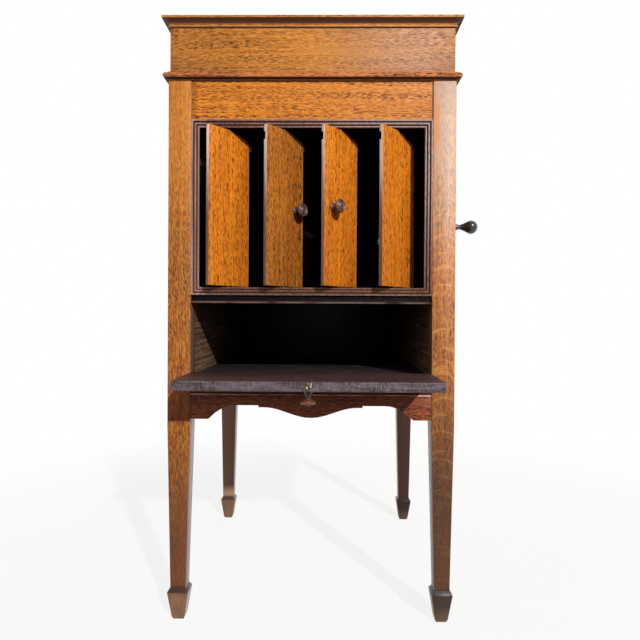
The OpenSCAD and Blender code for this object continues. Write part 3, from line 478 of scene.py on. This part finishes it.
def metal(name, colour, dull, rough, amount=0.5, scale=90.0, low=0.42, high=0.66):
    """Plated or bare metal with tarnish in patches and fine scratches."""
    net = Net(name)
    coord = net.add("TexCoord").outputs["Object"]
    patch = net.band(net.noise(coord, (scale, scale, scale), 5, 0.65), low, high)
    fine = net.noise(coord, (1500, 1500, 240), 2)
    corner = net.add("AmbientOcclusion", {"Distance": 0.006}, samples=6).outputs["AO"]
    dirty = net.math("MAXIMUM", net.math("MULTIPLY", patch, amount), net.band(corner, 0.7, 0.25))
    net.set(Base_Color=net.mix(dirty, colour, dull), Metallic=1.0,
            Roughness=net.math("MULTIPLY_ADD", patch, 0.25, rough),
            Normal=net.bump(fine, 0.12, 0.0001))
    return net.material


def ebony_material():
    net = Net("ebony")
    coord = net.add("TexCoord").outputs["Object"]
    grain = net.noise(coord, (40, 700, 700), 3)
    tint = net.mix(net.band(grain, 0.4, 0.7), rgb(16, 15, 17), rgb(44, 38, 38))
    net.set(Base_Color=tint, Roughness=net.math("MULTIPLY_ADD", grain, 0.2, 0.14),
            Coat_Weight=0.6, Coat_Roughness=0.08, Normal=net.bump(grain, 0.08, 0.0002))
    return net.material


def felt_material():
    net = Net("felt")
    coord = net.add("TexCoord").outputs["Object"]
    nap = net.noise(coord, (1600, 1600, 1600), 3, 0.7)
    worn = net.band(net.noise(coord, (24, 24, 24), 4), 0.35, 0.7)
    tint = net.mix(worn, rgb(44, 84, 54), rgb(74, 104, 68))
    tint = net.mix(net.math("MULTIPLY", nap, 0.4), tint, rgb(26, 50, 34))
    net.set(Base_Color=tint, Roughness=0.95, Sheen_Weight=0.35, Sheen_Roughness=0.5,
            Normal=net.bump(nap, 0.6, 0.0006))
    return net.material


BRASS = metal("brass", rgb(196, 160, 92), rgb(96, 70, 38), 0.28)
OLD_BRASS = metal("old_brass", rgb(236, 222, 178), rgb(52, 44, 34), 0.28, 0.97, 300.0, 0.36, 0.5)
IRON = metal("iron", rgb(86, 84, 84), rgb(44, 36, 32), 0.45, 0.6)
NICKEL = metal("nickel", rgb(206, 200, 188), rgb(132, 120, 100), 0.18, 0.35)
EBONY = ebony_material()
FELT = felt_material()

LEG_LOOKS = {
    "front_left": leg_extra(rgb(92, 56, 42), rgb(142, 106, 84), rgb(224, 142, 54), 0.3, inward=1,
                            painted_flap_shade=True),
    # The right front leg's pale top tint is a painted sheen.
    "front_right": leg_extra(rgb(48, 31, 23), rgb(42, 29, 23), rgb(206, 180, 162), 0.56, inward=-1,
                             fade=(0.52, 0.24), arcs=True, chafed=True),
    # The rear legs' front faces: painted light on the left leg, painted shade on the right leg.
    "rear_left": leg_extra(rgb(156, 122, 98), rgb(112, 86, 70), fade=(0.47, 0.37), share=0.95,
                           outer_tint=rgb(112, 76, 54)),
    "rear_right": leg_extra(rgb(50, 34, 31), rgb(46, 33, 30), fade=(0.47, 0.37), share=0.95,
                            outer_tint=rgb(100, 68, 50)),
}
MATT = dict(shine=0.02, gloss=0)
KNOB = dict(gloss=0.9, pores=0.3, extra=rubbed(rgb(170, 140, 132), 0.7))

# Each wooden node: the axis that its grain runs along, its tone, its seed, and what is special to it.
FINISH = {
    "leg_front_left": ("Z", STRAW, 1, dict(stripe=0.7, inward=1, haze=0.28,
                                           extra=LEG_LOOKS["front_left"])),
    "leg_front_right": ("Z", AMBER, 2, dict(gloss=0.55, haze=0.42, inward=-1,
                                            extra=LEG_LOOKS["front_right"])),
    "leg_rear_left": ("Z", AMBER, 3, dict(inward=1, haze=0.3, extra=LEG_LOOKS["rear_left"])),
    "leg_rear_right": ("Z", AMBER, 4, dict(inward=-1, haze=0.3, extra=LEG_LOOKS["rear_right"])),
    "side_panel_left": ("Z", AMBER, 5, dict(rays=0.5)),
    "side_panel_right": ("Z", AMBER, 6, dict(rays=0.5)),
    "back_panel": ("Z", RUSSET, 7, dict(extra=back_extra)),
    "top_rail": ("X", GOLD, 8, dict(rays=0.3, extra=rail_extra)),
    "louvre_frame": ("Z", RUSSET, 9, dict(extra=frame_extra, gloss=0.5)),
    # The divider's pale line is painted light: its bead, lit below the shaded band.
    "divider_rail": ("X", SHADOW, 10, dict(MATT, extra=bead_extra(0.5336, 0.5358, rgb(112, 84, 72)))),
    # The bottom rail's dark tone is painted shade for the gap under the flap.
    "bottom_rail": ("X", PLUM, 11, dict(shine=0.06, gloss=0)),
    "apron_front": ("X", UMBER, 12, dict(extra=bead_extra(0.3802, 0.382, rgb(196, 162, 146)))),
    "apron_sides": ("Y", UMBER, 13, {}),
    "shelf_board": ("X", SOOT, 14, dict(extra=shelf_extra, shine=0.05, gloss=0)),
    "chamber_floor": ("X", SHADOW, 15, MATT),
    "chamber_ceiling": ("X", SHADOW, 16, MATT),
    "chamber_linings": ("Y", LINING, 17, dict(shine=0.03, gloss=0, stripe=0.95)),
    "tone_chamber": ("Z", SHADOW, 18, MATT),
    # Waist and cornice: painted shade on their undersides, painted highlight on their edges.
    "waist_moulding": ("XY", BRONZE, 19, dict(
        extra=underside_shade_extra(rgb(34, 16, 14), rgb(246, 168, 108)))),
    "motor_board": ("Y", RUSSET, 20, {}),
    "motor_board_cleats": ("Y", PLUM, 21, {}),
    "lid_band": ("XY", HONEY, 22, dict(rays=0.15, extra=band_extra)),
    "lid_top": ("XY", HONEY, 23, dict(
        rays=0.2, extra=underside_shade_extra(rgb(126, 92, 80), rgb(250, 190, 126)))),
    "flap_board": ("X", AMBER, 24, dict(extra=flap_extra)),
    "flap_knob": ("Y", RUSSET, 25, dict(gloss=0.8, pores=0.4, extra=knob_extra)),
    "louvre_1": ("Z", SUNNY, 26, dict(extra=louvre_extra)),
    "louvre_2": ("Z", AMBER, 27, dict(extra=louvre_extra)),
    "louvre_3": ("Z", SUNNY, 28, dict(extra=louvre_extra)),
    "louvre_4": ("Z", SUNNY, 29, dict(extra=louvre_extra)),
    "louvre_knob_left": ("Y", PLUM, 30, KNOB),
    "louvre_knob_right": ("Y", PLUM, 31, KNOB),
}

# The nodes of metal, ebonised wood and felt.
PLAIN = {
    BRASS: ["lid_hinges_fixed", "lid_hinges_moving", "lid_stay", "flap_hinges_fixed",
            "flap_hinges_moving", "governor"],
    OLD_BRASS: ["flap_catch"],
    IRON: ["louvre_irons_1", "louvre_irons_2", "louvre_irons_3", "louvre_irons_4", "tie_bar",
           "motor_frame", "winding_wheel"],
    NICKEL: ["crank_escutcheon", "crank", "spring_barrel", "turntable_spindle", "turntable",
             "tone_arm_base", "tone_arm", "sound_box", "brake_lever", "needle_cup"],
    EBONY: ["crank_handle"],
    FELT: ["turntable_felt"],
}

SHARP = math.radians(32)           # an edge that turns more than this stays sharp


def smooth_group():
    """Smooth shading, kept sharp over the sharp edges."""
    tree = bpy.data.node_groups.new("smooth_by_angle", "GeometryNodeTree")
    for side in ("INPUT", "OUTPUT"):
        tree.interface.new_socket("Geometry", in_out=side, socket_type="NodeSocketGeometry")
    start = tree.nodes.new("NodeGroupInput")
    end = tree.nodes.new("NodeGroupOutput")
    faces = tree.nodes.new("GeometryNodeSetShadeSmooth")
    edges = tree.nodes.new("GeometryNodeSetShadeSmooth")
    edges.domain = "EDGE"
    edges.inputs["Shade Smooth"].default_value = False
    angle = tree.nodes.new("GeometryNodeInputMeshEdgeAngle")
    above = tree.nodes.new("FunctionNodeCompare")
    above.operation = "GREATER_THAN"
    above.inputs[1].default_value = SHARP
    for a, b in ((start.outputs[0], faces.inputs["Geometry"]),
                 (faces.outputs[0], edges.inputs["Geometry"]),
                 (angle.outputs[0], above.inputs[0]),
                 (above.outputs[0], edges.inputs["Selection"]),
                 (edges.outputs[0], end.inputs[0])):
        tree.links.new(a, b)
    return tree


SMOOTH = smooth_group()


def dress(obj, material, bevel):
    """Gives a CAD node its finish and, in metres, the small round of its edges."""
    obj.data.materials.clear()
    obj.data.materials.append(material)
    weld = obj.modifiers.new("weld", "WELD")
    weld.merge_threshold = 0.00001
    if bevel:
        soft = obj.modifiers.new("bevel", "BEVEL")
        soft.width = bevel
        soft.segments = 2
        soft.limit_method = "ANGLE"
        soft.angle_limit = math.radians(40)
    obj.modifiers.new("smooth", "NODES").node_group = SMOOTH


BOARD_BEVEL, CAST_BEVEL = 0.0008, 0.0002
WOOD_BEVEL = {"louvre_frame": 0.0005, "lid_top": 0.0004, "waist_moulding": 0.0003, "flap_knob": 0,
              "louvre_knob_left": 0, "louvre_knob_right": 0, "tone_chamber": 0, "divider_rail": 0.0006}
for node, (axis, tone, seed, more) in FINISH.items():
    dress(nodes[node], wood(node + "_wood", tone, axis, seed, **more), WOOD_BEVEL.get(node, BOARD_BEVEL))
for material, names in PLAIN.items():
    for node in names:
        dress(nodes[node], material, CAST_BEVEL if node.startswith(("crank", "motor")) else 0)

# ---------------------------------------------------------------- small hardware


def finish_piece(name, bm, material, body):
    """Makes an object of the bmesh, which rides on a body."""
    bmesh.ops.recalc_face_normals(bm, faces=bm.faces)
    mesh = bpy.data.meshes.new(name)
    bm.to_mesh(mesh)
    bm.free()
    obj = bpy.data.objects.new(name, mesh)
    bpy.context.scene.collection.objects.link(obj)
    obj.data.materials.append(material)
    obj.modifiers.new("smooth", "NODES").node_group = SMOOTH
    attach(obj, body)


def lathe(bm, profile, place, steps=28):
    """Turns a profile of (radius, height) in metres about the place's own Z."""
    rings = []
    for radius, height in profile:
        ring = []
        count = steps if radius else 1
        for k in range(count):
            a = 2 * math.pi * k / count
            point = Vector((radius * math.cos(a), radius * math.sin(a), height))
            ring.append(bm.verts.new(place @ point))
        rings.append(ring)
    for low, high in zip(rings, rings[1:]):
        for k in range(steps):
            corners = [low[k % len(low)], low[(k + 1) % len(low)],
                       high[(k + 1) % len(high)], high[k % len(high)]]
            face = [v for i, v in enumerate(corners) if v not in corners[:i]]
            if len(face) > 2:
                bm.faces.new(face)


def facing_place(centre, normal, spin=0.0):
    """A frame at the centre whose Z is the normal."""
    turn_to = Vector(normal).to_track_quat("Z", "Y").to_matrix().to_4x4()
    return Matrix.Translation(centre) @ turn_to @ Matrix.Rotation(spin, 4, "Z")


def screw_head(bm, place, r):
    """Slotted screw: a domed head in two halves over its countersunk rim."""
    rim_r, half_slot, dome_share, steps = 0.93 * r, 0.14 * r, 0.8, 12
    lathe(bm, [(0, -0.3 * r), (r, -0.3 * r), (r, 0.02 * r), (rim_r, 0.1 * r), (0, 0.1 * r)], place)
    first = math.asin(half_slot / rim_r)
    for side in (1, -1):
        rim = []
        top = []
        for k in range(steps + 1):
            a = first + (math.pi - 2 * first) * k / steps
            x, y = rim_r * math.cos(a), rim_r * math.sin(a) * side
            inner_y = side * max(half_slot, abs(y) * dome_share)
            rim.append(bm.verts.new(place @ Vector((x, y, 0.09 * r))))
            top.append(bm.verts.new(place @ Vector((x * dome_share, inner_y, 0.34 * r))))
        for k in range(steps):
            bm.faces.new((rim[k], rim[k + 1], top[k + 1], top[k]))
        bm.faces.new(top)
        bm.faces.new((rim[0], top[0], top[-1], rim[-1]))


def screws(name, places, r, material, body):
    """A set of slotted screws: each place is (centre, normal, slot angle in degrees)."""
    bm = bmesh.new()
    for centre, normal, angle in places:
        screw_head(bm, facing_place(centre, normal, math.radians(angle)), r * MM)
    finish_piece(name, bm, material, body)


def circle(middle, radius, angle, plane_axes):
    """A point on a circle, in mm: the cosine goes on the first of the two axes."""
    point = list(middle)
    point[plane_axes[0]] += radius * math.cos(angle)
    point[plane_axes[1]] += radius * math.sin(angle)
    return at(*point)


# Places in mm from the cabinet's front middle.
HINGE_Y, HINGE_Z, HINGE_X = 539.2, 918.2, 150      # the lid hinges' leaves, at both sides of the middle
LEAF_ROW = 15                                      # from the hinge's pin to each leaf's row of screws
ESCUTCHEON = (236, 297.2, 834)
ARM_BASE_X, ARM_BASE_Y, ARM_BASE_TOP = 150, 385, 896
BOARD_TOP = 892                                    # the motor board
BACK_FACE_Y = 538

lid_places, case_places = [], []
for side in (-1, 1):
    for dx, angle in ((-20, 20), (0, 75), (20, 140)):
        x = side * HINGE_X + dx
        lid_places.append((at(x, HINGE_Y, HINGE_Z + LEAF_ROW), BACK, angle))
        case_places.append((at(x, HINGE_Y, HINGE_Z - LEAF_ROW), BACK, angle + 40))
screws("lid_hinge_screws_upper", lid_places, 2.4, BRASS, "lid")
screws("lid_hinge_screws_lower", case_places, 2.4, BRASS, "case")

places = [(circle(ESCUTCHEON, 12.4, a, (1, 2)), RIGHT, 57 * k) for k, a in enumerate((0.5, 2.6, 4.7))]
screws("escutcheon_screws", places, 1.9, NICKEL, "case")

board_spots = ((-190, 60), (150, 40), (-150, 480), (190, 480),
               (-60, 200), (60, 200), (-60, 375), (60, 375))
places = [(at(x, y, BOARD_TOP), UP, 31 * k) for k, (x, y) in enumerate(board_spots)]
screws("motor_board_screws", places, 4.2, BRASS, "case")

arm_base = (ARM_BASE_X, ARM_BASE_Y, ARM_BASE_TOP)
places = [(circle(arm_base, 31.5, a, (0, 1)), UP, 44 * k) for k, a in enumerate((0.3, 2.4, 4.5))]
screws("arm_base_screws", places, 2.3, NICKEL, "case")

places = [(at(x, BACK_FACE_Y, z), BACK, 13 * z + x) for z in (380, 560, 740, 870) for x in (-186, 186)]
screws("back_panel_screws", places, 3.2, IRON, "case")


def ring_piece(name, profile, place, material, body, steps=48):
    """A turned piece, from a profile of (radius, height) in mm."""
    bm = bmesh.new()
    lathe(bm, [(r * MM, h * MM) for r, h in profile], place, steps)
    finish_piece(name, bm, material, body)


def mica_material():
    net = Net("mica")
    patch = net.noise(net.add("TexCoord").outputs["Object"], (160, 160, 160), 4)
    net.set(Base_Color=net.mix(patch, rgb(156, 138, 104), rgb(206, 192, 160)), Roughness=0.12,
            Coat_Weight=1.0, Coat_Roughness=0.05)
    return net.material


# The sound box's face: clamping ring, mica disc and its centre boss, on the side away from the spindle.
PARK = math.radians(10)            # the parked arm's angle
ARM_REACH = 222                    # from the arm's pivot to the sound box
BOX_Z, BOX_HALF = 952, 9           # the sound box's middle, and half its thickness
box_mid = at(ARM_BASE_X + ARM_REACH * math.sin(PARK), ARM_BASE_Y - ARM_REACH * math.cos(PARK), BOX_Z)
box_out = Vector((-math.cos(PARK), -math.sin(PARK), 0))
face = facing_place(box_mid + box_out * BOX_HALF * MM, box_out)
ring_piece("sound_box_ring",
           [(21.5, -0.5), (21.5, 1.2), (20.5, 2.0), (18.5, 2.0), (17.5, 0.9), (17.5, -0.5)],
           face, NICKEL, "sound_box")
ring_piece("sound_box_mica", [(17.6, 0.2), (9, 0.45), (3.4, 0.5), (0, 0.5)], face, mica_material(),
           "sound_box")
ring_piece("sound_box_boss", [(3.4, 0.4), (3.2, 1.6), (1.6, 2.2), (1.4, 3.0), (0, 3.2)], face, BRASS,
           "sound_box", 24)

# ---------------------------------------------------------------- studio


def floor_material():
    """Pale floor: plain white far away, a little less near the cabinet, so that a shadow shows."""
    near, near_r, far_r = 0.84, 0.7, 1.6
    net = Net("floor_paint")
    path = net.add("LightPath").outputs
    seen = net.math("MAXIMUM", path["Is Camera Ray"],
                    net.math("MAXIMUM", path["Is Glossy Ray"], path["Is Transmission Ray"]))
    net.set(Base_Color=net.mix(path["Is Diffuse Ray"], rgb(236, 235, 232), rgb(120, 118, 114)),
            Roughness=0.9)
    glow = net.add("Emission", {"Color": (1, 1, 1, 1), "Strength": 1.0})
    away = net.add("VectorMath", {0: net.add("TexCoord").outputs["Object"]}, operation="LENGTH")
    share = net.math("MULTIPLY_ADD", net.band(away.outputs["Value"], near_r, far_r), 1 - near, near)
    blend = net.add("MixShader", {0: net.math("MULTIPLY", seen, share), 1: net.bsdf.outputs[0],
                                  2: glow.outputs[0]})
    net.tree.links.new(blend.outputs[0], net.out.inputs[0])
    return net.material


FLOOR_HALF = 20                    # metres
corners = [(x * FLOOR_HALF, y * FLOOR_HALF, 0) for x, y in ((-1, -1), (1, -1), (1, 1), (-1, 1))]
floor_mesh = bpy.data.meshes.new("floor")
floor_mesh.from_pydata(corners, [], [(0, 1, 2, 3)])
floor_mesh.materials.append(floor_material())
floor = bpy.data.objects.new("floor", floor_mesh)
bpy.context.scene.collection.objects.link(floor)

WORLD_LIGHT, WORLD_SEEN = 0.2, 1.0      # on the object, and as the camera and reflections see it
world = bpy.data.worlds.new("studio")
bpy.context.scene.world = world
world.use_nodes = True
tree = world.node_tree
backdrop = tree.nodes["Background"]
sky_path = tree.nodes.new("ShaderNodeLightPath")
shown = sky_path.outputs["Is Camera Ray"]
for kind in ("Is Glossy Ray", "Is Transmission Ray"):
    most = tree.nodes.new("ShaderNodeMath")
    most.operation = "MAXIMUM"
    tree.links.new(shown, most.inputs[0])
    tree.links.new(sky_path.outputs[kind], most.inputs[1])
    shown = most.outputs[0]
level = tree.nodes.new("ShaderNodeMapRange")
level.inputs["To Min"].default_value = WORLD_LIGHT
level.inputs["To Max"].default_value = WORLD_SEEN
tree.links.new(shown, level.inputs["Value"])
tree.links.new(level.outputs[0], backdrop.inputs["Strength"])
backdrop.inputs["Color"].default_value = (1, 1, 1, 1)


def light(name, kind, place, target, energy, size, colour=(1, 1, 1)):
    """A lamp that looks at its target: size is a side in metres, or the sun's angle."""
    data = bpy.data.lights.new(name, kind)
    data.energy = energy
    data.color = colour
    if kind == "AREA":
        data.shape = "SQUARE"
        data.size = size
    else:
        data.angle = size
    obj = bpy.data.objects.new(name, data)
    obj.matrix_world = facing_place(place, place - target)
    bpy.context.scene.collection.objects.link(obj)


SUN_AZ, SUN_EL = math.radians(25), math.radians(25)
sun_flat = Vector((math.sin(SUN_AZ), -math.cos(SUN_AZ), 0)) * math.cos(SUN_EL)
sun_place = (sun_flat + Vector((0, 0, math.sin(SUN_EL)))) * 5
light("key", "SUN", sun_place, Vector((0, 0, 0)), 3.2, math.radians(1.5), (1.0, 0.98, 0.94))
light("sheen", "AREA", at(1130, -3000, 2680), at(200, 0, 900), 25, 1.2)
light("fill_back", "AREA", at(900, 3400, 1700), at(0, 300, 500), 26, 2.0)
light("fill_left", "AREA", at(-2200, -1700, 1500), at(0, 100, 600), 8, 1.4, (0.95, 0.97, 1.0))

bpy.context.scene.view_settings.view_transform = "Standard"
